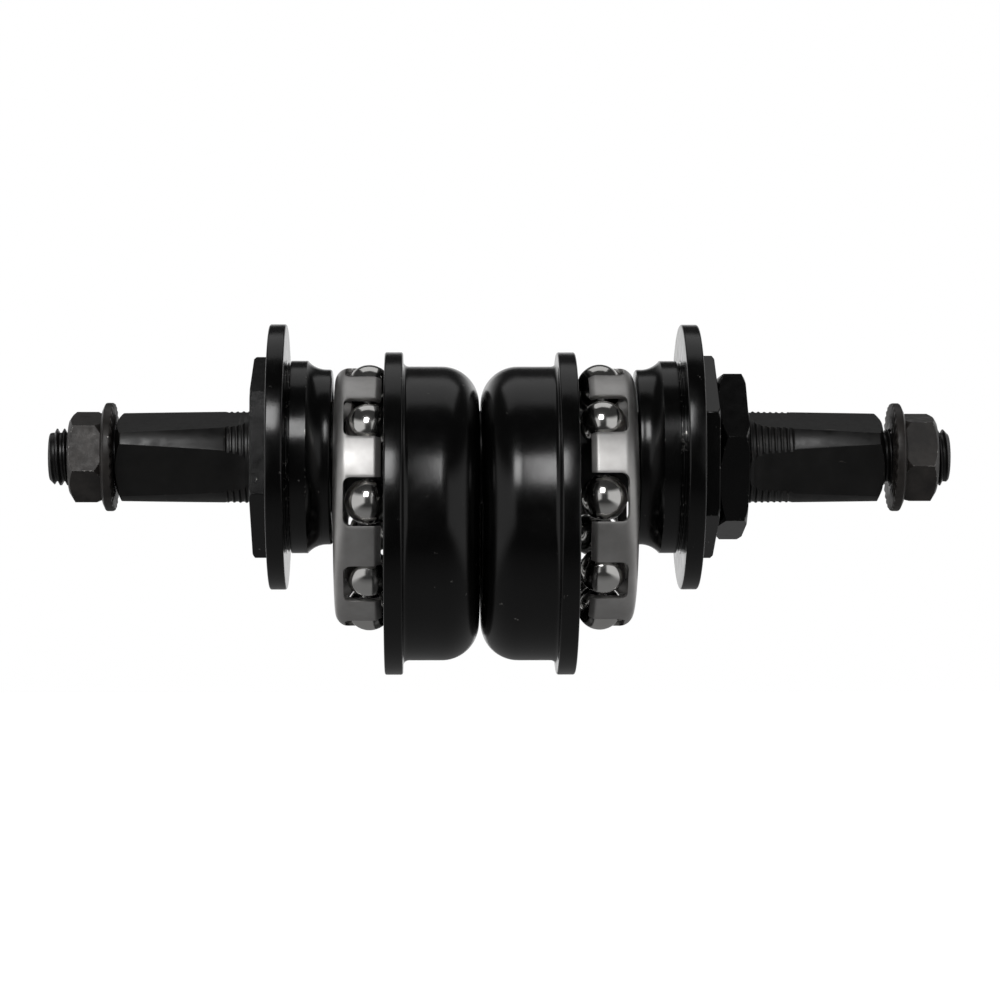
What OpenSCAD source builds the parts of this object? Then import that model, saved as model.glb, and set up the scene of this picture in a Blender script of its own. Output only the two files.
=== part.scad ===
// Three-piece conversion bottom bracket: a nutted square-taper spindle with its cones,
// ball cages and press-in cups, threaded loosely together with no shell around it.
// Millimetres, +X along the spindle towards the adjusting side, +Z up.
// The origin is the middle of the drive cup's press seat.

/* [Spindle] */
// Length from stud end to stud end
spindle_length = 156.8; // [145:1:175]
// Length of each threaded stud
stud_length = 11.8; // [9:0.1:15]
// Outer diameter of the stud thread
stud_d = 9.9; // [8:0.1:11]
// Pitch of the stud thread
stud_pitch = 1.25; // [1:0.05:1.5]
// Diameter of the round stock that the tapers are milled from
taper_stock_d = 16; // [15:0.1:16.4]
// Across the flats of the taper at its small end
taper_af = 12.65; // [12:0.05:13.2]
// Slope of each taper flat in degrees
taper_angle = 2; // [1:0.1:3]
// Length of each milled flat, without its run-out
taper_flat = 20; // [16:0.5:23]
// Turn of the taper about the spindle, in degrees
taper_turn = 21.8; // [0:0.1:45]
// Outer diameter of the cone thread, cut in the same stock as the tapers
cone_thread_d = 16.04; // [15.9:0.01:16.4]
// Pitch of the cone thread
cone_pitch = 1.058; // [0.9:0.01:1.3]
// Diameter of the plain middle, where the cups hang
spindle_mid_d = 16.2; // [14:0.1:16.3]
// Diameter of the collar that the drive cone tightens against
collar_d = 19.2; // [18:0.1:20]

/* [Cups] */
// Press-fit diameter of a cup body
cup_d = 51.3; // [49:0.1:54]
// Diameter of the cup flange
flange_d = 56.3; // [54.5:0.1:60]
// Thickness of the cup flange
flange_t = 3.2; // [2:0.1:4]
// Fillet between the flange and the body
flange_fillet = 1; // [0.5:0.1:1.5]
// Wall of the cup body
cup_wall = 2.3; // [1.8:0.1:2.6]
// Depth from the flange face to the rounded end
cup_depth = 16.4; // [14:0.1:19]
// Diameter of the hole in the rounded end
cup_bore_d = 36.5; // [34:0.1:37]
// Gap between the two cups, back to back
cup_gap = 0.3; // [0.2:0.1:1]

/* [Bearings] */
// Ball diameter
ball_d = 7.94; // [6:0.01:8]
// Balls in each cage
ball_count = 9; // [7:1:9]
// Diameter of the circle through the ball centres
ball_pitch_d = 38.76; // [37.5:0.1:38.8]
// Outer diameter of the cage ring
cage_d = 45; // [44:0.1:45]
// Inner diameter of the cage ring
cage_bore_d = 34; // [33:0.1:35]
// Width of the cage ring along the spindle
cage_width = 8.2; // [7.5:0.1:8.4]
// Thickness of the cage sheet
cage_wall = 0.9; // [0.6:0.05:1]
// Outside bend radius at the closed side of the cage
cage_bend = 2.4; // [1.5:0.1:2.6]
// Width of each ball notch round the ring
notch_w = 8.3; // [8.2:0.05:9]
// Start of each notch, from the closed side
notch_u = 1.75; // [1.5:0.05:2.2]

/* [Cones] */
// Across the flats of the cone's wrench hex
cone_hex_af = 30.8; // [28:0.1:34]
// Thickness of the wrench hex
cone_hex_t = 2.9; // [2.5:0.1:5]
// Diameter of the cone's plain body
cone_body_d = 33.6; // [32:0.1:34]
// Diameter of the cone's nose
cone_nose_d = 30.56; // [29:0.01:31]
// Outer diameter of the dust washer
dust_washer_d = 46.3; // [42:0.1:46.4]
// Thickness of the dust washer
dust_washer_t = 3; // [1.5:0.1:3.6]
// Across the flats of the locknut
locknut_af = 26.2; // [24:0.1:32]
// Thickness of the locknut
locknut_t = 5; // [3.5:0.1:6]

/* [Crank nuts] */
// Across the flats of a crank nut
nut_af = 14; // [13:0.1:15]
// Length of the nut's hex
nut_hex_t = 5.8; // [5:0.1:7]
// Diameter of the serrated washer
nut_washer_d = 18.9; // [17:0.1:21]
// Thickness of the serrated washer
nut_washer_t = 2.1; // [1.5:0.1:3]

/* [Fits] */
// Radial clearance of a running thread or ring
running_gap = 0.05; // [0.02:0.01:0.1]
// Gap where a loose ring hangs on the piece that carries it
hang_gap = 0.3; // [0.2:0.05:0.5]
// Radial clearance of a ball in its cage pocket
window_gap = 0.2; // [0.15:0.05:0.4]

/* [Hidden] */
$fn = 96;
race_r = ball_d / 2 + 0.23;                      // inner race curve of a cup
cup_inner_r = cup_d / 2 - cup_wall;              // wall inside the cup body
race_u = cup_depth - race_r - cup_wall;          // race centre, from the flange face
mouth_bevel_r = 2.35;                            // radial size of the lead-in at the mouth
mouth_bevel_u = 1.8;                             // axial size of the same
cup_meet_x = -3.7;                               // rounded end of the drive cup, from mid-spindle
drive_face_x = cup_meet_x - cup_depth;           // flange face of the drive cup
adjust_face_x = cup_meet_x + cup_gap + cup_depth;
seat_u0 = flange_t + flange_fillet;              // press seat, from the flange face
seat_mid_u = (seat_u0 + race_u) / 2;

cup_drop = cup_bore_d / 2 - spindle_mid_d / 2 - hang_gap;    // cup axis below the spindle axis
ball_in_r = (ball_pitch_d - ball_d) / 2;                     // circle that the balls leave free
cage_drop = ball_in_r - spindle_mid_d / 2 - hang_gap;        // cage axis below the spindle axis

ball_u = cage_width - 2.25;                      // ball centres, from the cage's closed face
cage_hang_gap = 0.5;                             // drive cage from the cone nose
drive_nose_x = -29.2;                            // nose faces of the two cones, from mid-spindle
adjust_nose_x = 23.5;
drive_cage_x = drive_nose_x + cage_hang_gap;     // closed faces of the two cages
adjust_cage_x = adjust_nose_x - hang_gap;
collar_w = 2.3;

cone_nose_t = 1;                                 // straight nose before the race
cone_race_r = (ball_d / 2) + 0.33;
cone_race_rise = (cone_body_d - cone_nose_d) / 2;
cone_race_w = sqrt(pow(cone_race_r, 2) - pow(cone_race_r - cone_race_rise, 2));
cone_body_w = 2.9;                               // plain body after the race
groove_w = 0.75;                                 // groove beside the dust washer
groove_depth = 0.6;
groove_u = cone_nose_t + cone_race_w + cone_body_w;
washer_u = groove_u + groove_w;                  // dust washer, from the nose face
cone_hex_u = washer_u + dust_washer_t;
cone_length = cone_hex_u + cone_hex_t;
locknut_x = adjust_nose_x + cone_length + 0.15;

stud_x = spindle_length / 2 - stud_length;       // taper ends and studs begin here
flat_in_x = stud_x - taper_flat;                 // inner end of the flat part of a taper flat
runout_r = 10;                                   // milling cutter's run-out at the inner end
runout_w = 4.2;
drive_thread_x = -47.9;                          // outer end of the drive cone's thread
adjust_thread_x = 51;                            // outer end of the adjusting cone's thread
thread_in_x = 18;                                // inner end of the adjusting thread
cone_thread_depth = 0.27;                        // depth of its worn ridges
drive_nut_x = -67;                               // inner faces of the two nut washers
adjust_nut_x = 68.2;

drive_cone_turn = 21.5;                          // turns of the hexes about the spindle
adjust_cone_turn = 35;
locknut_turn = 47.3;
drive_nut_turn = 18.3;
adjust_nut_turn = 11.8;

// Places children that are drawn about the spindle axis, from mid-spindle.
module on_spindle(x = 0) {
    translate([x - drive_face_x - seat_mid_u, 0, cup_drop]) children();
}

// Turns a profile of [radius, u] points about X, with u running towards +X.
module turned(points) {
    rotate([0, 90, 0]) rotate_extrude() polygon(points);
}

// A hex prism along X, as a six-sided cylinder.
module hex_bar(af, length, turn) {
    rotate([turn, 0, 0]) rotate([0, 90, 0]) cylinder(r = af / 2 / cos(30), h = length, $fn = 6);
}

function arc(cx, cy, r, a0, a1, n) =
    [for (i = [0:n]) [cx + r * cos(a0 + (a1 - a0) * i / n), cy + r * sin(a0 + (a1 - a0) * i / n)]];

// The ridge line of a thread between two stations, as [radius, u] points.
function ridges(r, pitch, depth, u0, u1) =
    let (n = floor((u1 - u0) / pitch))
    [for (i = [0:n - 1], k = [0:3])
        [k == 0 || k == 3 ? r - depth : r, u0 + (i + [0.02, 0.4, 0.6, 0.98][k]) * pitch]];

// One milled flat of a taper, as a cutter above the plane it leaves, on the +X end.
module flat_cutter() {
    slope = tan(taper_angle);
    z_in = taper_af / 2 + taper_flat * slope;
    rotate([90, 0, 0]) linear_extrude(height = 2 * taper_stock_d, center = true) polygon(concat(
        [[stud_x + 1, taper_af / 2 - slope], [stud_x + 1, taper_stock_d]],
        [[flat_in_x - runout_w, taper_stock_d]],
        [for (i = [8:-1:0]) let (s = runout_w * i / 8)
            [flat_in_x - s, z_in + s * slope + runout_r - sqrt(pow(runout_r, 2) - s * s)]]));
}

module tapers_cut() {
    for (side = [0, 1], turn = [0:90:270])
        mirror([side, 0, 0])
            rotate([taper_turn + turn, 0, 0]) flat_cutter();
}

module spindle() {
    stud_r = stud_d / 2;
    stock_r = taper_stock_d / 2;
    thread_r = cone_thread_d / 2;
    mid_r = spindle_mid_d / 2;
    end_x = spindle_length / 2;
    end_bevel = 0.8;
    color("darkgray") on_spindle() difference() {
        turned(concat(
            [[0, -end_x], [stud_r - 1, -end_x]],
            ridges(stud_r, stud_pitch, 0.6, -end_x + 0.6, -stud_x - 0.3),
            [[stud_r - 0.5, -stud_x], [taper_af / 2, -stud_x], [stock_r, -stud_x + end_bevel]],
            [[stock_r, drive_thread_x]],
            ridges(thread_r, cone_pitch, cone_thread_depth, drive_thread_x, drive_nose_x - cone_length),
            [[thread_r - 0.2, drive_nose_x - cone_length], [thread_r - 0.2, drive_nose_x],
             [collar_d / 2, drive_nose_x], [collar_d / 2, drive_nose_x + collar_w],
             [mid_r, drive_nose_x + collar_w], [mid_r, thread_in_x],
             [thread_r - 0.2, thread_in_x], [thread_r - 0.2, locknut_x + locknut_t]],
            ridges(thread_r, cone_pitch, cone_thread_depth, locknut_x + locknut_t, adjust_thread_x),
            [[stock_r, adjust_thread_x]],
            [[stock_r, stud_x - end_bevel], [taper_af / 2, stud_x], [stud_r - 0.5, stud_x]],
            ridges(stud_r, stud_pitch, 0.6, stud_x + 0.3, end_x - 0.6),
            [[stud_r - 1, end_x], [0, end_x]]));
        tapers_cut();
    }
}

// A cup with its flange face at u = 0 and its rounded end at u = cup_depth.
module cup() {
    outer_r = cup_d / 2;
    rim_bevel = 0.35;
    race_cr = cup_inner_r - race_r;
    bore_in = acos((cup_bore_d / 2 - race_cr) / race_r);
    bore_out = acos((cup_bore_d / 2 - race_cr) / (race_r + cup_wall));
    turned(concat(
        [[cup_inner_r + mouth_bevel_r, 0], [flange_d / 2 - rim_bevel, 0], [flange_d / 2, rim_bevel],
         [flange_d / 2, flange_t - rim_bevel], [flange_d / 2 - rim_bevel, flange_t]],
        arc(outer_r + flange_fillet, flange_t + flange_fillet, flange_fillet, 270, 180, 6),
        arc(race_cr, race_u, race_r + cup_wall, 0, bore_out, 14),
        arc(race_cr, race_u, race_r, bore_in, 0, 12),
        [[cup_inner_r, mouth_bevel_u]]));
}

module drive_cup() {
    color([0.1, 0.1, 0.11]) translate([-seat_mid_u, 0, 0]) cup();
}

module adjust_cup() {
    color([0.12, 0.12, 0.13])
        translate([adjust_face_x - drive_face_x - seat_mid_u, 0, 0]) mirror([1, 0, 0]) cup();
}

// Turns children to each ball's place; angle 0 faces -Y and grows downwards.
module at_ball(i) {
    rotate([(i - 1) * 360 / ball_count, 0, 0]) translate([ball_u, -ball_pitch_d / 2, 0]) children();
}

// A cage with its closed face at u = 0, open towards +X, a notch for each ball.
module cage() {
    r0 = cage_bore_d / 2;
    r1 = cage_d / 2;
    lip_u = 3.1;
    difference() {
        turned(concat(
            [[r0, 0.25], [r0 + 0.25, 0]],
            arc(r1 - cage_bend, cage_bend, cage_bend, 270, 360, 8),
            [[r1, cage_width], [r1 - cage_wall, cage_width]],
            arc(r1 - cage_bend, cage_bend, cage_bend - cage_wall, 360, 270, 6),
            [[r0 + cage_wall, cage_wall], [r0 + cage_wall, lip_u], [r0, lip_u]]));
        for (i = [1:ball_count])
            rotate([(i - 1) * 360 / ball_count, 0, 0])
                translate([notch_u, -cage_d / 2 - 1, -notch_w / 2])
                    cube([cage_width, 3 + cage_wall, notch_w]);
        for (i = [1:ball_count])
            at_ball(i) sphere(r = ball_d / 2 + window_gap);
    }
}

module drive_cage_place() {
    on_spindle(drive_cage_x) translate([0, 0, -cage_drop]) rotate([2, 0, 0]) children();
}

module adjust_cage_place() {
    on_spindle(adjust_cage_x) translate([0, 0, -cage_drop]) mirror([1, 0, 0]) children();
}

module drive_cage() {
    color("gainsboro") drive_cage_place() cage();
}

module adjust_cage() {
    color("gainsboro") adjust_cage_place() cage();
}

module ball(i) {
    at_ball(i) sphere(r = ball_d / 2);
}

// A cone with its nose face at u = 0 and its hex at the far end.
module cone(turn) {
    nose_r = cone_nose_d / 2;
    body_r = cone_body_d / 2;
    race_cr = nose_r + cone_race_r;
    race_end = acos((cone_race_r - cone_race_rise) / cone_race_r);
    difference() {
        union() {
            turned(concat(
                [[0, 0], [nose_r - 0.4, 0], [nose_r, 0.4]],
                arc(race_cr, cone_nose_t, cone_race_r, 180, 180 - race_end, 8),
                [[body_r, groove_u], [body_r - groove_depth, groove_u],
                 [body_r - groove_depth, washer_u], [body_r, washer_u], [body_r, cone_hex_u + 0.2],
                 [nose_r, cone_hex_u + 0.4], [0, cone_hex_u + 0.4]]));
            translate([cone_hex_u, 0, 0]) hex_bar(cone_hex_af, cone_hex_t, turn);
        }
        translate([-1, 0, 0]) rotate([0, 90, 0])
            cylinder(r = cone_thread_d / 2 + running_gap, h = cone_length + 2);
    }
}

module drive_cone() {
    color([0.1, 0.1, 0.1]) on_spindle(drive_nose_x) mirror([1, 0, 0]) cone(drive_cone_turn);
}

module adjust_cone() {
    color([0.1, 0.1, 0.1]) on_spindle(adjust_nose_x) cone(adjust_cone_turn);
}

module dust_washer() {
    inner_r = cone_body_d / 2 + running_gap;
    outer_r = dust_washer_d / 2;
    bevel = 0.3;
    turned([[inner_r, washer_u], [outer_r - bevel, washer_u], [outer_r, washer_u + bevel],
            [outer_r, cone_hex_u - bevel], [outer_r - bevel, cone_hex_u], [inner_r, cone_hex_u]]);
}

module drive_dust_washer() {
    color([0.13, 0.13, 0.13]) on_spindle(drive_nose_x) mirror([1, 0, 0]) dust_washer();
}

module adjust_dust_washer() {
    color([0.13, 0.13, 0.13]) on_spindle(adjust_nose_x) dust_washer();
}

module locknut() {
    corner_r = locknut_af / 2 / cos(30);
    bevel = 1.1;
    color([0.1, 0.1, 0.1]) on_spindle(locknut_x) difference() {
        intersection() {
            hex_bar(locknut_af, locknut_t, locknut_turn);
            turned([[0, 0], [corner_r - 1.8 * bevel, 0], [corner_r + 0.1, 1.2 * bevel],
                    [corner_r + 0.1, locknut_t - 0.6 * bevel], [corner_r - bevel, locknut_t],
                    [0, locknut_t]]);
        }
        translate([-1, 0, 0]) rotate([0, 90, 0])
            cylinder(r = cone_thread_d / 2 + running_gap, h = locknut_t + 2);
    }
}

// A crank nut with its washer's seat face at u = 0, its hex pointing to +X.
module crank_nut(turn) {
    corner_r = nut_af / 2 / cos(30);
    skirt_r = 7.4;
    difference() {
        intersection() {
            translate([nut_washer_t, 0, 0]) hex_bar(nut_af, nut_hex_t, turn);
            turned([[0, nut_washer_t], [skirt_r, nut_washer_t], [corner_r + 0.1, nut_washer_t + 1.2],
                    [corner_r + 0.1, nut_washer_t + nut_hex_t - 1.1],
                    [nut_af / 2 - 0.6, nut_washer_t + nut_hex_t], [0, nut_washer_t + nut_hex_t]]);
        }
        rotate([0, 90, 0]) cylinder(r = stud_d / 2 + running_gap, h = 20);
    }
}

module drive_crank_nut() {
    color([0.2, 0.19, 0.18]) on_spindle(drive_nut_x) mirror([1, 0, 0]) crank_nut(drive_nut_turn);
}

module adjust_crank_nut() {
    color([0.2, 0.19, 0.18]) on_spindle(adjust_nut_x) crank_nut(adjust_nut_turn);
}

module nut_washer() {
    outer_r = nut_washer_d / 2;
    inner_r = stud_d / 2 + running_gap;
    turned([[inner_r, 0], [outer_r - 0.6, 0], [outer_r, 0.5], [outer_r, nut_washer_t - 0.8],
            [outer_r - 1.1, nut_washer_t], [inner_r, nut_washer_t]]);
}

module drive_nut_washer() {
    color([0.22, 0.2, 0.19]) on_spindle(drive_nut_x) mirror([1, 0, 0]) nut_washer();
}

module adjust_nut_washer() {
    color([0.22, 0.2, 0.19]) on_spindle(adjust_nut_x) nut_washer();
}

spindle();
drive_cup();
adjust_cup();
drive_cage();
adjust_cage();
drive_cone();
adjust_cone();
drive_dust_washer();
adjust_dust_washer();
locknut();
drive_crank_nut();
adjust_crank_nut();
drive_nut_washer();
adjust_nut_washer();
for (i = [1:ball_count]) {
    color("silver") drive_cage_place() ball(i);
    color("silver") adjust_cage_place() ball(i);
}
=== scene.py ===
# Loosely assembled three-piece bottom bracket, hanging together on its spindle
import math
import bmesh
import bpy
from mathutils import Matrix, Vector


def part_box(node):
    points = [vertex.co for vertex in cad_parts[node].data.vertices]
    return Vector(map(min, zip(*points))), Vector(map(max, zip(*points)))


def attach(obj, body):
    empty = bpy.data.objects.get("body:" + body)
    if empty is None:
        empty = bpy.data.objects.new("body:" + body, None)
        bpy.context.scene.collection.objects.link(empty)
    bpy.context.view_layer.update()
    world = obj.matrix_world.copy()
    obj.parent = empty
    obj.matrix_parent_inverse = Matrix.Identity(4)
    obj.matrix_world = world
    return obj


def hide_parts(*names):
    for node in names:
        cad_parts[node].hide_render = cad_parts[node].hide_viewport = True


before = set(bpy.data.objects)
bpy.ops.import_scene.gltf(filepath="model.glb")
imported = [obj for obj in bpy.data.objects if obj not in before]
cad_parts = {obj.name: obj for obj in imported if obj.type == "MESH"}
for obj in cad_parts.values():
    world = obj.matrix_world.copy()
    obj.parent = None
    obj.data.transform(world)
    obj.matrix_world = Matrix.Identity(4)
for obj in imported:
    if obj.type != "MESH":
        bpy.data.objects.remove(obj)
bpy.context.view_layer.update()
print("frame loaded:", len(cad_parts), "nodes")
mm = 0.001


def mid(node):
    low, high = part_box(node)
    return [(low[k] + high[k]) / 2 for k in range(3)]


spindleMid = mid("spindle")  # the layout is measured from the middle of the spindle


def link(tree, a, b):
    tree.links.new(a, b)


def node(tree, kind, **values):
    n = tree.nodes.new(kind)
    for key, value in values.items():
        if hasattr(n, key):
            setattr(n, key, value)
        else:
            n.inputs[key].default_value = value
    return n


def ramp(tree, source, low, high):
    r = node(tree, "ShaderNodeMapRange")
    r.clamp = True
    r.inputs["From Min"].default_value = low
    r.inputs["From Max"].default_value = high
    link(tree, source, r.inputs["Value"])
    return r.outputs["Result"]


def mixColour(tree, factor, a, b):
    m = node(tree, "ShaderNodeMix", data_type="RGBA")
    link(tree, factor, m.inputs["Factor"])
    for socket, value in ((m.inputs[6], a), (m.inputs[7], b)):
        if isinstance(value, tuple):
            socket.default_value = (*value, 1)
        else:
            link(tree, value, socket)
    return m.outputs[2]


def combine(tree, operation, *values):
    m = node(tree, "ShaderNodeMath", operation=operation)
    for socket, value in zip(m.inputs, values):
        if isinstance(value, (int, float)):
            socket.default_value = value
        else:
            link(tree, value, socket)
    return m.outputs[0]


def noise(tree, where, scale, detail=4.0, roughness=0.6):
    n = node(tree, "ShaderNodeTexNoise")
    n.inputs["Scale"].default_value = scale
    n.inputs["Detail"].default_value = detail
    n.inputs["Roughness"].default_value = roughness
    link(tree, where, n.inputs["Vector"])
    return n.outputs["Fac"]


def stretched(tree, where, scale):
    m = node(tree, "ShaderNodeMapping")
    m.inputs["Scale"].default_value = scale
    link(tree, where, m.inputs["Vector"])
    return m.outputs["Vector"]


surface = {"cloudFrom": 0.35, "cloudTo": 0.7, "roughFrom": 0.3, "roughTo": 0.75, "edgeFrom": 0.995,
           "edgeTo": 0.90, "fade": 0.05, "edgeSamples": 6}


# white where the surface turns within the radius, so on edges
def edgeMask(tree, radius):
    soft = node(tree, "ShaderNodeBevel", samples=surface["edgeSamples"])
    soft.inputs["Radius"].default_value = radius
    flat = node(tree, "ShaderNodeNewGeometry")
    dot = node(tree, "ShaderNodeVectorMath", operation="DOT_PRODUCT")
    link(tree, soft.outputs["Normal"], dot.inputs[0])
    link(tree, flat.outputs["Normal"], dot.inputs[1])
    return ramp(tree, dot.outputs["Value"], surface["edgeFrom"], surface["edgeTo"])


# spots where the noise passes a level
def spots(tree, source, level):
    return ramp(tree, source, level, level + surface["fade"])


# one metal finish from a dictionary of its looks
def finish(name, look):
    m = bpy.data.materials.new(name)
    m.use_nodes = True
    t = m.node_tree
    shader = t.nodes["Principled BSDF"]
    where = node(t, "ShaderNodeTexCoord").outputs["Object"]
    cloud = ramp(t, noise(t, where, look["cloudScale"]), surface["cloudFrom"], surface["cloudTo"])
    colour = mixColour(t, cloud, look["dark"], look["light"])
    grain = noise(t, stretched(t, where, look["grainStretch"]), look["grainScale"], 6.0, 0.7)
    patches = noise(t, where, look["cloudScale"] * 3)
    rough = ramp(t, patches, surface["roughFrom"], surface["roughTo"])
    rough = combine(t, "MULTIPLY_ADD", rough, look["roughSpread"], look["rough"])
    metal = look["metal"]
    if look["wear"]:
        chips = spots(t, noise(t, where, look["chipScale"], 5.0, 0.65), look["chipLow"])
        worn = combine(t, "MULTIPLY", edgeMask(t, look["wear"]), chips)
        scuffs = noise(t, stretched(t, where, look["scuffStretch"]), look["chipScale"] * 0.6, 5.0, 0.6)
        worn = combine(t, "MAXIMUM", worn, spots(t, scuffs, look["scuff"]))
        colour = mixColour(t, worn, colour, look["bare"])
        bareMetal = combine(t, "MULTIPLY_ADD", worn, 1 - metal, metal)
        link(t, bareMetal, shader.inputs["Metallic"])
    else:
        shader.inputs["Metallic"].default_value = metal
    link(t, colour, shader.inputs["Base Color"])
    link(t, rough, shader.inputs["Roughness"])
    bump = node(t, "ShaderNodeBump")
    bump.inputs["Strength"].default_value = look["bump"]
    bump.inputs["Distance"].default_value = look["bumpDepth"]
    link(t, grain, bump.inputs["Height"])
    link(t, bump.outputs["Normal"], shader.inputs["Normal"])
    shader.inputs["Specular IOR Level"].default_value = look["specular"]
    return m


# wear is the width of worn edges in metres; chipLow and scuff are noise levels, and a higher one leaves
# fewer marks
oxideLook = {"dark": (0.0008, 0.0008, 0.0008), "light": (0.002, 0.002, 0.0022), "cloudScale": 90,
             "grainScale": 1500, "grainStretch": (1, 1, 1), "rough": 0.17, "roughSpread": 0.08,
             "metal": 0.0, "wear": 0.00025, "chipScale": 900, "chipLow": 0.61, "bare": (0.45, 0.44, 0.42),
             "bump": 0.25, "bumpDepth": 0.00004, "specular": 0.5, "scuff": 0.705,
             "scuffStretch": (1, 1, 1)}
coneLook = dict(oxideLook, chipLow=0.58, rough=0.16, cloudScale=140, wear=0.0003)
spindleLook = dict(oxideLook, dark=(0.003, 0.0028, 0.0027), light=(0.009, 0.0085, 0.008), rough=0.3,
                   roughSpread=0.2, grainScale=900, grainStretch=(1, 0.15, 0.15),
                   bump=0.35, chipLow=0.58, bare=(0.16, 0.15, 0.14), cloudScale=160,
                   scuff=0.69, scuffStretch=(0.25, 1, 1))
nutLook = dict(oxideLook, dark=(0.021, 0.0185, 0.017), light=(0.050, 0.044, 0.040), metal=0.2,
               rough=0.34, roughSpread=0.2, bump=0.4, chipLow=0.56, cloudScale=260)
cageLook = dict(oxideLook, dark=(0.50, 0.49, 0.48), light=(0.68, 0.67, 0.66), metal=1.0, rough=0.40,
                roughSpread=0.10, grainScale=700, grainStretch=(0.2, 1, 1), bump=0.12, wear=0,
                cloudScale=110)
ballLook = dict(cageLook, dark=(0.76, 0.75, 0.73), light=(0.86, 0.85, 0.83), rough=0.13,
                roughSpread=0.04, bump=0.02)
finishes = {"black_oxide": finish("blackOxide", oxideLook), "cone": finish("coneOxide", coneLook),
            "forged_steel": finish("spindleOxide", spindleLook), "nut_black": finish("nutOxide", nutLook),
            "cage_steel": finish("cageSteel", cageLook), "ball_steel": finish("ballSteel", ballLook)}
print("materials made")


joinDistance = 2e-6  # metres within which points are one
facing = {"bevelAbove": 20, "wrenchFlat": 14, "filletFine": 5, "filletLarge": 14, "largeFillet": 2}


# a profile of (u, r, fillet) points with each corner turned into an arc
def rounded(points):
    out = []
    n = len(points)
    for i, (u, r, fillet) in enumerate(points):
        if not fillet:
            out.append((u, r))
            continue
        here = Vector((u, r))
        before = Vector(points[i - 1][:2]) - here
        after = Vector(points[(i + 1) % n][:2]) - here
        half = before.angle(after) / 2
        back = min(fillet / math.tan(half), before.length * 0.49, after.length * 0.49)  # arcs never meet
        radius = back * math.tan(half)
        middle = (before.normalized() + after.normalized()).normalized()
        centre = here + middle * (radius / math.sin(half))
        a = here + before.normalized() * back - centre
        b = here + after.normalized() * back - centre
        sweep = a.angle_signed(b)
        steps = facing["filletFine"] if fillet < facing["largeFillet"] else facing["filletLarge"]
        for k in range(steps + 1):
            turn = -sweep * k / steps
            out.append(tuple(centre + Matrix.Rotation(turn, 2) @ a))
    return out


# points on an arc about (u, r), from straight out towards the far end
def arc(u, r, radius, sweep, steps):
    angles = [sweep * k / steps for k in range(steps + 1)]
    return [(u + radius * math.sin(a), r + radius * math.cos(a)) for a in angles]


# a bmesh turned about X from a closed (u, r) loop, or an open one that ends on the axis
def lathe(profile, steps=160):
    bm = bmesh.new()
    verts = [bm.verts.new((u * mm, 0, r * mm)) for u, r in profile]
    onAxis = profile[0][1] == 0 and profile[-1][1] == 0
    pairs = list(zip(verts, verts[1:])) + ([] if onAxis else [(verts[-1], verts[0])])
    edges = [bm.edges.new(p) for p in pairs]
    bmesh.ops.spin(bm, geom=verts + edges, cent=(0, 0, 0), axis=(1, 0, 0), angle=math.tau,
                   steps=steps, use_merge=True)
    bmesh.ops.remove_doubles(bm, verts=bm.verts, dist=1e-7)
    bmesh.ops.recalc_face_normals(bm, faces=bm.faces)
    return bm


def asObject(bm, name):
    mesh = bpy.data.meshes.new(name)
    bm.to_mesh(mesh)
    bm.free()
    o = bpy.data.objects.new(name, mesh)
    bpy.context.collection.objects.link(o)
    return o


# applies a boolean and throws the tool away
def cut(o, tool, operation):
    mod = o.modifiers.new("cut", "BOOLEAN")
    mod.object = tool
    mod.operation = operation
    mod.solver = "EXACT"
    graph = bpy.context.evaluated_depsgraph_get()
    mesh = bpy.data.meshes.new_from_object(o.evaluated_get(graph))
    o.modifiers.clear()
    o.data = mesh
    bpy.data.objects.remove(tool)


def turned(edge, degrees):
    return len(edge.link_faces) == 2 and edge.calc_face_angle(0) > math.radians(degrees)


# shades a piece smooth up to an angle, after an optional bevel in mm on its sharp edges
def smooth(o, degrees, bevel=0.0):
    bm = bmesh.new()
    bm.from_mesh(o.data)
    bmesh.ops.remove_doubles(bm, verts=bm.verts, dist=joinDistance)
    bmesh.ops.dissolve_degenerate(bm, edges=bm.edges, dist=joinDistance)
    if bevel:
        sharp = [e for e in bm.edges if turned(e, facing["bevelAbove"])]
        bmesh.ops.bevel(bm, geom=sharp, offset=bevel * mm, segments=2, profile=0.5, affect="EDGES",
                        material=-1, clamp_overlap=True)
    for f in bm.faces:
        f.smooth = f.calc_area() < facing["wrenchFlat"] * mm * mm  # wrench flats stay flat
    for e in bm.edges:
        e.smooth = not turned(e, degrees)
    bm.to_mesh(o.data)
    bm.free()


# moves a mesh drawn about X to its station, measured in mm from the middle of the spindle
def place(o, x, flip=False, turn=0.0, drop=0.0):
    m = Matrix.Rotation(math.radians(turn), 4, "X")
    if flip:
        m = Matrix.Rotation(math.pi, 4, "Z") @ m
    where = (spindleMid[0] + x * mm, spindleMid[1], spindleMid[2] - drop * mm)
    o.data.transform(Matrix.Translation(where) @ m)
    o.data.update()


def keep(o, body, slot, cadNode, material=None):
    o.data.materials.clear()
    o.data.materials.append(finishes[material or slot])
    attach(o, body)
    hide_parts(cadNode)
    return o


def cornerRadius(af):
    return af / 2 / math.cos(math.radians(30))


def hexBar(af, length, u0, turn):
    bm = bmesh.new()
    r = cornerRadius(af) * mm
    bmesh.ops.create_cone(bm, cap_ends=True, segments=6, radius1=r, radius2=r, depth=length * mm)
    turnToX = Matrix.Rotation(math.radians(turn), 4, "X") @ Matrix.Rotation(math.radians(90), 4, "Y")
    station = Matrix.Translation(((u0 + length / 2) * mm, 0, 0))
    bmesh.ops.transform(bm, verts=bm.verts, matrix=station @ turnToX)
    return asObject(bm, "hexBar")


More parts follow.
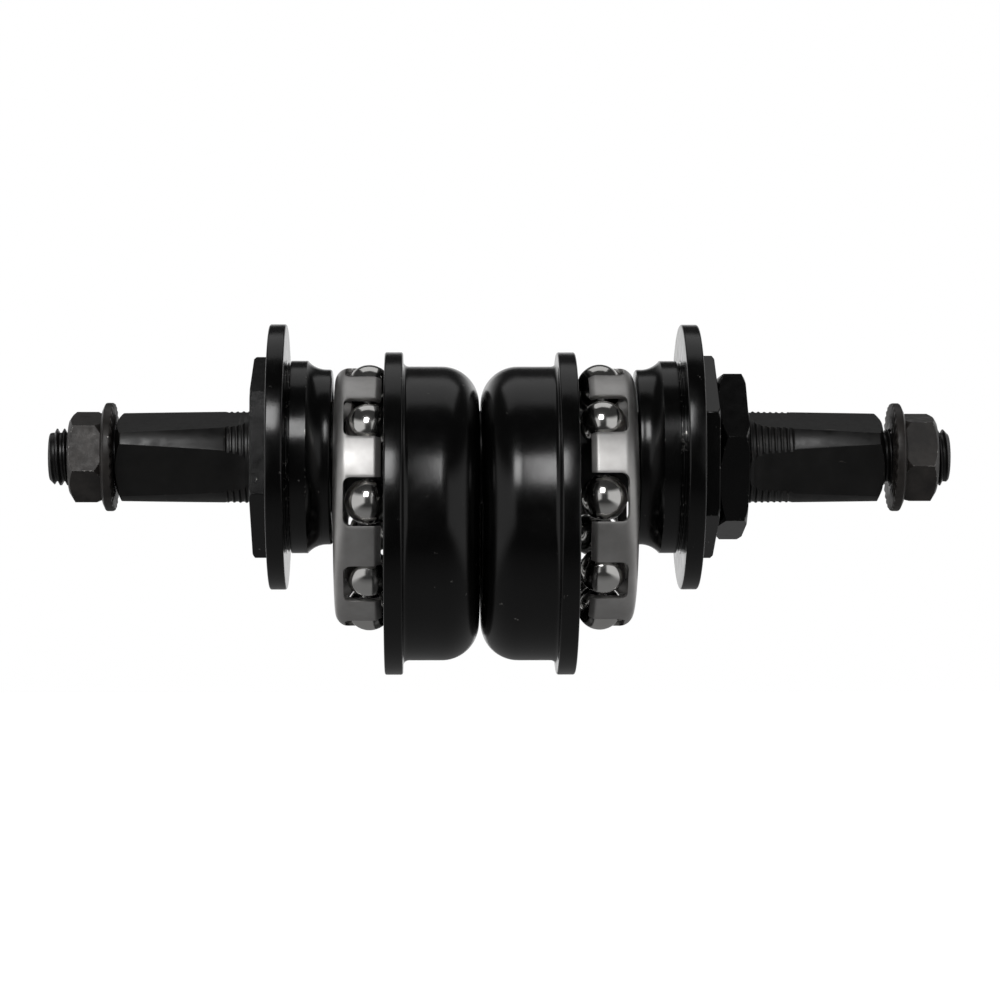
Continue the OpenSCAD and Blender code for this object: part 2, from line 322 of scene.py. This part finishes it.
# keeps what lies inside a turned profile, such as the chamfers of a nut
def bevelled(o, profile):
    cut(o, asObject(lathe(profile, 120), "bevelling"), "INTERSECT")


def bored(o, radius, length):
    tool = asObject(lathe([(-1, 0), (-1, radius), (length + 1, radius), (length + 1, 0)], 96), "bore")
    cut(o, tool, "DIFFERENCE")


# a screw thread between two stations, its ends cut square and closed
def helix(radius, pitch, depth, u0, u1, steps=72):
    bm = bmesh.new()
    tooth = [(0, -depth), (0.12, -depth), (0.42, 0), (0.58, 0), (0.88, -depth), (1, -depth)]
    verts = [bm.verts.new(((u0 - pitch * (1.5 - a)) * mm, 0, (radius + b) * mm)) for a, b in tooth]
    edges = [bm.edges.new(p) for p in zip(verts, verts[1:])]
    turns = int((u1 - u0) / pitch) + 3
    bmesh.ops.spin(bm, geom=verts + edges, cent=(0, 0, 0), axis=(1, 0, 0), angle=math.tau * turns,
                   steps=steps * turns, dvec=(pitch / steps * mm, 0, 0))
    bmesh.ops.remove_doubles(bm, verts=bm.verts, dist=joinDistance)
    for station, side in ((u0, -1), (u1, 1)):
        bmesh.ops.bisect_plane(bm, geom=bm.verts[:] + bm.edges[:] + bm.faces[:], dist=1e-7,
                               plane_co=(station * mm, 0, 0), plane_no=(side, 0, 0), clear_outer=True)
    bmesh.ops.holes_fill(bm, edges=[e for e in bm.edges if len(e.link_faces) == 1], sides=0)
    bmesh.ops.recalc_face_normals(bm, faces=bm.faces)
    return bm


# runs a thread down to a 45 degree chamfer of the given depth at each end
def trimEnds(bm, u0, u1, radius, slope0, slope1):
    for v in bm.verts:
        r = math.hypot(v.co.y, v.co.z)
        most = radius * mm
        if slope0:
            most = min(most, (radius - slope0) * mm + (v.co.x - u0 * mm))
        if slope1:
            most = min(most, (radius - slope1) * mm + (u1 * mm - v.co.x))
        if r > most:
            v.co.y *= most / r
            v.co.z *= most / r


# radii, widths and stations in mm
cup = {"body": 25.65, "flange": 28.15, "flangeT": 3.2, "depth": 16.4, "wall": 2.3, "race": 4.2,
       "bore": 18.25, "mouth": 1.8, "lead": 2.35, "driveX": -20.1, "adjustX": 13.0, "drop": 9.85}


def cupProfile():
    inner = cup["body"] - cup["wall"]
    c = inner - cup["race"]
    u = cup["depth"] - cup["race"] - cup["wall"]
    outerR = cup["race"] + cup["wall"]
    endOut = math.acos((cup["bore"] - c) / outerR)
    endIn = math.acos((cup["bore"] - c) / cup["race"])
    outer = arc(u, c, outerR, endOut, 20)
    inside = arc(u, c, cup["race"], endIn, 16)[::-1]
    rim = rounded([(0, inner + cup["lead"], 0.25), (0, cup["flange"], 0.35),
                   (cup["flangeT"], cup["flange"], 0.4), (cup["flangeT"], cup["body"], 1.0),
                   (u - 0.2, cup["body"], 0)])
    mouth = rounded([(u - 0.2, inner, 0), (cup["mouth"], inner, 0.4), (0, inner + cup["lead"], 0)])[:-1]
    return rim + outer + inside + mouth


for side in ("drive", "adjust"):
    o = asObject(lathe(cupProfile(), 200), side + "CupShell")
    place(o, cup[side + "X"], side == "adjust", 0, cup["drop"])
    smooth(o, 35)
    keep(o, side + "_cup", "black_oxide", side + "_cup")
print("cups made")

# the adjust cage is turned round: its half turn keeps the same window at the front
cage = {"outer": 22.5, "bore": 17.0, "width": 8.2, "wall": 0.9, "bend": 2.4, "lip": 3.1, "balls": 9,
        "ballU": 5.95, "pitch": 19.38, "ball": 3.97, "drop": 7.01, "driveX": -28.7, "adjustX": 23.2,
        "driveTurn": 2, "adjustTurn": 180, "windowStart": 1.75, "windowHalf": 4.13, "windowDeep": 9,
        "windowOut": 1.5, "windowFillet": 1.3, "pocketGap": 0.12}
ballStep = 360 / cage["balls"]


# turns a cutter to its ball's place and cuts it out of the cage
def cutAt(o, bm, i, name):
    turn = Matrix.Rotation(math.radians(i * ballStep), 3, "X")
    bmesh.ops.rotate(bm, verts=bm.verts, cent=(0, 0, 0), matrix=turn)
    cut(o, asObject(bm, name), "DIFFERENCE")


def cageRing():
    r0, r1, w, t, b = cage["bore"], cage["outer"], cage["width"], cage["wall"], cage["bend"]
    lip = cage["lip"]
    profile = rounded([(0, r0, 0.3), (0, r1, b), (w - 1.1, r1, 1.2), (w, r1 - 0.55, 0.15),
                       (w - 0.3, r1 - t - 0.4, 0.15), (w - 1.4, r1 - t, 0.8), (t, r1 - t, b - t),
                       (t, r0 + t, 0.4), (lip, r0 + t, 0.3), (lip, r0, 0.3)])
    o = asObject(lathe(profile, 180), "cageRing")
    for i in range(cage["balls"]):
        bm = bmesh.new()
        bmesh.ops.create_cube(bm, size=1)
        size = (w * mm, cage["windowDeep"] * mm, 2 * cage["windowHalf"] * mm)
        bmesh.ops.scale(bm, verts=bm.verts, vec=size)
        edges = [e for e in bm.edges if abs(e.verts[0].co.y - e.verts[1].co.y) > mm]  # those that run in Y
        bmesh.ops.bevel(bm, geom=edges, offset=cage["windowFillet"] * mm, segments=6, profile=0.5,
                        affect="EDGES", material=-1)
        where = ((cage["windowStart"] + w / 2) * mm, -(cage["pitch"] + cage["windowOut"]) * mm, 0)
        bmesh.ops.translate(bm, verts=bm.verts, vec=where)
        cutAt(o, bm, i, "window")
    for i in range(cage["balls"]):
        bm = bmesh.new()
        r = (cage["ball"] + cage["pocketGap"]) * mm
        bmesh.ops.create_uvsphere(bm, u_segments=32, v_segments=20, radius=r)
        bmesh.ops.translate(bm, verts=bm.verts, vec=(cage["ballU"] * mm, -cage["pitch"] * mm, 0))
        cutAt(o, bm, i, "pocket")
    return o


ring = cageRing()
for side in ("drive", "adjust"):
    o = bpy.data.objects.new(side + "CageRing", ring.data.copy())
    bpy.context.collection.objects.link(o)
    place(o, cage[side + "X"], side == "adjust", cage[side + "Turn"], cage["drop"])
    smooth(o, 30, 0.1)
    keep(o, side + "_cage", "cage_steel", side + "_cage")
bpy.data.objects.remove(ring)
for side in ("drive", "adjust"):
    for i in range(1, cage["balls"] + 1):
        name = f"{side}_ball_{i}"
        bm = bmesh.new()
        bmesh.ops.create_icosphere(bm, subdivisions=5, radius=cage["ball"] * mm)
        o = asObject(bm, f"{side}Ball{i}")
        o.data.transform(Matrix.Translation(mid(name)))
        for p in o.data.polygons:
            p.use_smooth = True
        keep(o, side + "_cage", "ball_steel", name)
print("cages and balls made")

# a piece that is turned round, as the drive cone is, is turned the other way on its axis
cone = {"nose": 15.28, "body": 16.8, "raceR": 4.3, "raceW": 3.28, "bodyW": 2.9, "grooveW": 0.75,
        "washerT": 3.0, "washerR": 23.15, "hexAf": 30.8, "hexT": 2.9, "bore": 8.07, "driveX": -29.2,
        "adjustX": 23.5, "driveTurn": -21.5, "adjustTurn": 35}
coneGroove = 1 + cone["raceW"] + cone["bodyW"]
washerU = coneGroove + cone["grooveW"]
hexU = washerU + cone["washerT"]


def coneBody(turn):
    sweep = math.acos((cone["raceR"] - (cone["body"] - cone["nose"])) / cone["raceR"])
    race = [(1 + cone["raceR"] * math.sin(sweep * k / 12),
             cone["nose"] + cone["raceR"] * (1 - math.cos(sweep * k / 12))) for k in range(13)]
    g = coneGroove
    full = cone["body"]
    deep = full - 0.6
    ridge = full - 0.25  # the thin ring in the groove
    lip = rounded([(g - 0.6, full, 0), (g, full, 0.15), (g, deep, 0.1), (g + 0.28, deep, 0.1),
                   (g + 0.28, ridge, 0.1), (g + 0.5, ridge, 0.1), (g + 0.5, deep, 0.1),
                   (washerU, deep, 0), (washerU, full, 0)])
    nose = rounded([(0, cone["bore"], 0.3), (0, cone["nose"], 0.45), (0.98, cone["nose"], 0)])
    end = [(hexU + 0.2, full), (hexU + 0.3, cone["bore"])]
    o = asObject(lathe(nose + race + lip + end, 180), "coneBody")
    wrench = hexBar(cone["hexAf"], cone["hexT"], hexU, turn)
    corner = cornerRadius(cone["hexAf"])
    bevelled(wrench, [(hexU - 1, 0), (hexU - 1, corner + 1), (hexU + cone["hexT"] - 0.5, corner + 0.1),
                      (hexU + cone["hexT"] + 0.1, corner - 0.7), (hexU + cone["hexT"] + 0.1, 0)])
    bored(wrench, cone["bore"], hexU + cone["hexT"])
    smooth(wrench, 30, 0.12)
    cut(o, wrench, "UNION")
    return o


def washer():
    return asObject(lathe(rounded([
        (washerU, cone["body"] + 0.05, 0.15), (washerU, cone["washerR"], 0.35),
        (hexU, cone["washerR"], 0.35), (hexU, cone["body"] + 0.05, 0.15)]), 200), "dustWasher")


rides = {"drive": ("spindle", "spindle"), "adjust": ("adjust_cone", "adjust_dust_washer")}  # cone, washer
for side, (coneBodyName, washerBodyName) in rides.items():
    x, flip = cone[side + "X"], side == "drive"
    o = coneBody(cone[side + "Turn"])
    o.name = side + "Cone"
    place(o, x, flip)
    smooth(o, 30)
    keep(o, coneBodyName, "black_oxide", side + "_cone", "cone")
    o = washer()
    o.name = side + "DustWasher"
    place(o, x, flip)
    smooth(o, 30)
    keep(o, washerBodyName, "black_oxide", side + "_dust_washer", "cone")

locknut = {"af": 26.2, "t": 5.0, "turn": 47.3, "gap": 0.15}
corner = cornerRadius(locknut["af"])
o = hexBar(locknut["af"], locknut["t"], 0, locknut["turn"])
o.name = "locknutHex"
bevelled(o, [(0, 0), (0, corner - 2), (1.3, corner + 0.1), (locknut["t"] - 0.7, corner + 0.1),
             (locknut["t"], corner - 1.1), (locknut["t"], 0)])
bored(o, cone["bore"], locknut["t"])
place(o, cone["adjustX"] + hexU + cone["hexT"] + locknut["gap"])
smooth(o, 30, 0.12)
keep(o, "locknut", "black_oxide", "locknut", "cone")
print("cones made")

nut = {"af": 14.0, "hexT": 5.8, "washerR": 9.45, "washerT": 2.1, "bore": 5.0, "driveX": -67.0,
       "adjustX": 68.2, "driveTurn": -18.3, "adjustTurn": 11.8, "seatR": 7.4, "teeth": 32, "toothR": 8.0,
       "toothW": 0.5, "toothDepth": 0.28}


def crankNut(turn):
    t0, t1 = nut["washerT"], nut["washerT"] + nut["hexT"]
    corner = cornerRadius(nut["af"])
    o = hexBar(nut["af"], nut["hexT"], t0, turn)
    bevelled(o, [(t0, 0), (t0, nut["seatR"]), (t0 + 1.2, corner + 0.1), (t1 - 1.1, corner + 0.1),
                 (t1, nut["af"] / 2 - 0.6), (t1, 0)])
    bored(o, nut["bore"], t1)
    smooth(o, 30, 0.12)
    return o


def nutWasher():
    r, t = nut["washerR"], nut["washerT"]
    inside = nut["bore"] + 0.05
    profile = rounded([(0, inside, 0.1), (0, r, 0.55), (t - 0.5, r, 0.4), (t, r - 1.1, 0.3),
                       (t, inside, 0.1)])
    o = asObject(lathe(profile, 192), "nutWasher")
    for v in o.data.vertices:  # radial serrations on the seat face
        radius = math.hypot(v.co.y, v.co.z) / mm
        if v.co.x < nut["toothW"] * mm and radius > nut["toothR"]:
            wave = 0.5 + 0.5 * math.cos(nut["teeth"] * math.atan2(v.co.y, v.co.z))
            v.co.x += nut["toothDepth"] * mm * wave * (1 - v.co.x / (nut["toothW"] * mm))
    return o


for side in ("drive", "adjust"):
    x, flip = nut[side + "X"], side == "drive"
    o = crankNut(nut[side + "Turn"])
    o.name = side + "CrankNut"
    place(o, x, flip)
    keep(o, side + "_crank_nut", "nut_black", side + "_crank_nut")
    o = nutWasher()
    o.name = side + "NutWasher"
    place(o, x, flip)
    smooth(o, 32)
    keep(o, side + "_nut_washer", "nut_black", side + "_nut_washer")
print("crank nuts made")

spindle = {"half": 78.4, "stud": 11.8, "studR": 4.95, "studPitch": 1.25, "studDepth": 0.7,
           "studRoot": 0.75, "studChamfer": 0.9, "stockR": 8.0, "endBevel": 0.8, "af": 12.65,
           "slope": 2.0, "flat": 20.0, "runoutR": 10.0, "runoutW": 4.2, "turn": 21.8, "threadR": 8.02,
           "conePitch": 1.058, "coneDepth": 0.27, "coneRoot": 0.22, "coneChamfer": 0.2,
           "driveThread": -47.9, "driveThreadIn": 9, "adjustThread": 51.0, "adjustThreadIn": 40.0,
           "midR": 8.1, "midEnd": 18, "collarR": 9.6, "collarW": 2.3, "overlap": 0.2}
studX = spindle["half"] - spindle["stud"]


# the block that leaves one sloping taper flat and its rounded run-out
def flatCutter(side, quarter):
    slope = math.tan(math.radians(spindle["slope"]))
    inner = studX - spindle["flat"]
    zIn = spindle["af"] / 2 + spindle["flat"] * slope
    outline = [(studX + 1, spindle["af"] / 2 - slope), (studX + 1, 16), (inner - spindle["runoutW"], 16)]
    for k in range(12, -1, -1):
        s = spindle["runoutW"] * k / 12
        rise = spindle["runoutR"] - math.sqrt(spindle["runoutR"] ** 2 - s * s)
        outline.append((inner - s, zIn + s * slope + rise))
    bm = bmesh.new()
    face = bm.faces.new([bm.verts.new((u * mm, -12 * mm, z * mm)) for u, z in outline])
    grown = bmesh.ops.extrude_face_region(bm, geom=[face])
    grownVerts = [v for v in grown["geom"] if isinstance(v, bmesh.types.BMVert)]
    bmesh.ops.translate(bm, verts=grownVerts, vec=(0, 24 * mm, 0))
    turn = Matrix.Rotation(math.radians(spindle["turn"] + 90 * quarter), 3, "X")
    bmesh.ops.rotate(bm, verts=bm.verts, cent=(0, 0, 0), matrix=turn)
    if side < 0:
        bmesh.ops.scale(bm, verts=bm.verts, vec=(-1, 1, 1))
    bmesh.ops.recalc_face_normals(bm, faces=bm.faces)
    return asObject(bm, "flatCutter")


s = spindle
core = s["studR"] - s["studRoot"]
root = s["threadR"] - s["coneRoot"]
driveIn, collarEnd = cone["driveX"], cone["driveX"] + s["collarW"]
driveEnd = rounded([(-studX, core, 0), (-studX, s["af"] / 2, 0.15),
                    (-studX + s["endBevel"], s["stockR"], 0.3), (s["driveThread"], s["stockR"], 0)])
middle = [(s["driveThread"] + 0.6, root), (driveIn, root), (driveIn, s["collarR"]),
          (collarEnd, s["collarR"]), (collarEnd, s["midR"]), (s["midEnd"], s["midR"]), (s["midEnd"], root),
          (s["adjustThread"] - 0.6, root)]
adjustEnd = rounded([(s["adjustThread"], s["stockR"], 0), (studX - s["endBevel"], s["stockR"], 0.3),
                     (studX, s["af"] / 2, 0.15), (studX, core, 0)])
studCores = [(-studX - 1, 0), (-studX - 1, core)], [(studX + 1, core), (studX + 1, 0)]
bar = studCores[0] + driveEnd + middle + adjustEnd + studCores[1]
o = asObject(lathe(bar, 192), "spindleBar")


# a thread with a chamfer at the end that faces outwards
def threaded(o, side, radius, pitch, depth, ends, chamfer, name):
    bm = helix(radius, pitch, depth, *ends)
    trimEnds(bm, ends[0], ends[1], radius, chamfer if side < 0 else 0, chamfer if side > 0 else 0)
    cut(o, asObject(bm, name), "UNION")


for side in (-1, 1):
    if side < 0:
        ends = (s["driveThread"], driveIn - s["driveThreadIn"])
    else:
        ends = (s["adjustThreadIn"], s["adjustThread"])
    threaded(o, side, s["threadR"], s["conePitch"], s["coneDepth"], ends, s["coneChamfer"], "coneThread")
    for quarter in range(4):
        cut(o, flatCutter(side, quarter), "DIFFERENCE")
    near = studX - s["overlap"]
    ends = (-s["half"], -near) if side < 0 else (near, s["half"])
    threaded(o, side, s["studR"], s["studPitch"], s["studDepth"], ends, s["studChamfer"], "studThread")
place(o, 0)
smooth(o, 24)
keep(o, "spindle", "forged_steel", "spindle")
print("spindle made:", len(o.data.polygons), "faces")

shot = {"distance": 0.600, "yaw": 1.2, "below": 0.0075, "width": 0.1748, "sensor": 36}
yaw = math.radians(shot["yaw"])
aim = Vector((spindleMid[0], spindleMid[1], spindleMid[2] - shot["below"]))
camData = bpy.data.cameras.new("camera")
camData.sensor_width = shot["sensor"]
camData.lens = shot["sensor"] * shot["distance"] / shot["width"]
cam = bpy.data.objects.new("camera", camData)
cam.location = aim + Vector((-math.sin(yaw), -math.cos(yaw), 0)) * shot["distance"]
cam.rotation_euler = (math.pi / 2, 0, -yaw)
bpy.context.collection.objects.link(cam)
bpy.context.scene.camera = cam


# azimuth and elevation in degrees, width and height in metres, power in watts
lamps = {"keyBox": (-11, 34, 0.32, 0.36, 3.0), "leftBox": (-105, 10, 0.25, 0.7, 0.9),
         "rightBox": (105, 10, 0.25, 0.7, 0.7), "backTopBox": (180, 68, 0.9, 0.7, 1.0)}
lampDistance = 1.0
for name, (azimuth, elevation, width, height, power) in lamps.items():
    data = bpy.data.lights.new(name, "AREA")
    data.shape = "RECTANGLE"
    data.size = width
    data.size_y = height
    data.energy = power
    o = bpy.data.objects.new(name, data)
    a = math.radians(azimuth)
    e = math.radians(elevation)
    way = Vector((math.sin(a) * math.cos(e), -math.cos(a) * math.cos(e), math.sin(e)))
    o.location = aim + way * lampDistance
    o.rotation_euler = way.to_track_quat("Z", "Y").to_euler()
    bpy.context.collection.objects.link(o)


# one shader to the camera, gloss and glass, and another to everything else
def bySight(tree, seenShader, otherShader, out):
    path = node(tree, "ShaderNodeLightPath")
    seen = combine(tree, "MAXIMUM", path.outputs["Is Camera Ray"], path.outputs["Is Transmission Ray"])
    seen = combine(tree, "MAXIMUM", seen, path.outputs["Is Glossy Ray"])
    choose = node(tree, "ShaderNodeMixShader")
    link(tree, seen, choose.inputs[0])
    link(tree, otherShader.outputs[0], choose.inputs[1])
    link(tree, seenShader.outputs[0], choose.inputs[2])
    link(tree, choose.outputs[0], out.inputs["Surface"])


def grey(level):
    return (level, level, level)


worldStrength = 0.08
world = bpy.data.worlds.new("studio")
bpy.context.scene.world = world
world.use_nodes = True
dim = world.node_tree.nodes["Background"]
dim.inputs["Color"].default_value = (1, 1, 1, 1)
dim.inputs["Strength"].default_value = worldStrength
white = node(world.node_tree, "ShaderNodeBackground", Color=(1, 1, 1, 1))
bySight(world.node_tree, white, dim, world.node_tree.nodes["World Output"])

ground = {"z": -0.20, "half": 3, "pale": 0.85, "rough": 0.9, "near": 0.86, "nearR": 0.3, "farR": 0.8}
floorMat = bpy.data.materials.new("paleFloor")
floorMat.use_nodes = True
t = floorMat.node_tree
pale = t.nodes["Principled BSDF"]
pale.inputs["Base Color"].default_value = (*grey(ground["pale"]), 1)
pale.inputs["Roughness"].default_value = ground["rough"]
reach = node(t, "ShaderNodeVectorMath", operation="LENGTH")
link(t, node(t, "ShaderNodeTexCoord").outputs["Object"], reach.inputs[0])
away = ramp(t, reach.outputs["Value"], ground["nearR"], ground["farR"])
lift = node(t, "ShaderNodeEmission")  # dimmer under the object, so that the shadow there still shows
link(t, mixColour(t, away, grey(ground["near"]), grey(1.0)), lift.inputs["Color"])
shadowed = node(t, "ShaderNodeAddShader")
link(t, pale.outputs[0], shadowed.inputs[0])
link(t, lift.outputs[0], shadowed.inputs[1])
bySight(t, shadowed, pale, t.nodes["Material Output"])
bm = bmesh.new()
bmesh.ops.create_grid(bm, x_segments=8, y_segments=8, size=ground["half"])
bmesh.ops.translate(bm, verts=bm.verts, vec=(0, 0, ground["z"]))
floor = asObject(bm, "floor")
floor.data.materials.append(floorMat)

# a dim studio round the object that only reflections see, with pale sides and a white back; the object's
# gloss therefore shows this and not the white world
tent = {"radius": 1.3, "low": -0.19, "high": 1.3, "grey": 0.035, "side": 0.52, "sideFrom": 0.26,
        "sideTo": 0.46, "sideOff": 0.9, "sideFull": 0.5, "under": 0.17, "underOff": 0.0,
        "underFull": -0.15, "backLow": 0.9, "backHigh": 1.2, "backTop": 0.55, "frontFrom": -0.12,
        "frontTo": -0.4}
tentMat = bpy.data.materials.new("darkTent")
tentMat.use_nodes = True
t = tentMat.node_tree
spot = node(t, "ShaderNodeSeparateXYZ")
link(t, node(t, "ShaderNodeTexCoord").outputs["Object"], spot.inputs[0])
x, y, z = (spot.outputs[k] for k in "XYZ")
offCentre = combine(t, "ABSOLUTE", combine(t, "SUBTRACT", x, spindleMid[0]))
sides = ramp(t, offCentre, tent["sideFrom"], tent["sideTo"])
sides = combine(t, "MULTIPLY", sides, ramp(t, z, tent["sideOff"], tent["sideFull"]))
under = combine(t, "MULTIPLY", ramp(t, y, tent["frontTo"], tent["frontFrom"]),
                ramp(t, z, tent["underOff"], tent["underFull"]))
back = combine(t, "MULTIPLY", ramp(t, y, tent["backLow"], tent["backHigh"]),
               ramp(t, z, tent["backTop"], tent["backTop"] / 2))
card = mixColour(t, under, grey(tent["grey"]), grey(tent["under"]))
card = mixColour(t, sides, card, grey(tent["side"]))
glow = node(t, "ShaderNodeEmission")
link(t, mixColour(t, back, card, grey(1.0)), glow.inputs["Color"])
link(t, glow.outputs[0], t.nodes["Material Output"].inputs["Surface"])
bm = bmesh.new()
bmesh.ops.create_cone(bm, cap_ends=True, segments=64, radius1=tent["radius"], radius2=tent["radius"],
                      depth=tent["high"] - tent["low"])
bmesh.ops.translate(bm, verts=bm.verts, vec=(spindleMid[0], 0, (tent["high"] + tent["low"]) / 2))
darkTent = asObject(bm, "darkTent")
darkTent.data.materials.append(tentMat)
darkTent.visible_camera = False
darkTent.visible_diffuse = False
darkTent.visible_transmission = False
darkTent.visible_shadow = False

bpy.context.scene.view_settings.view_transform = "Standard"
print("stage set")
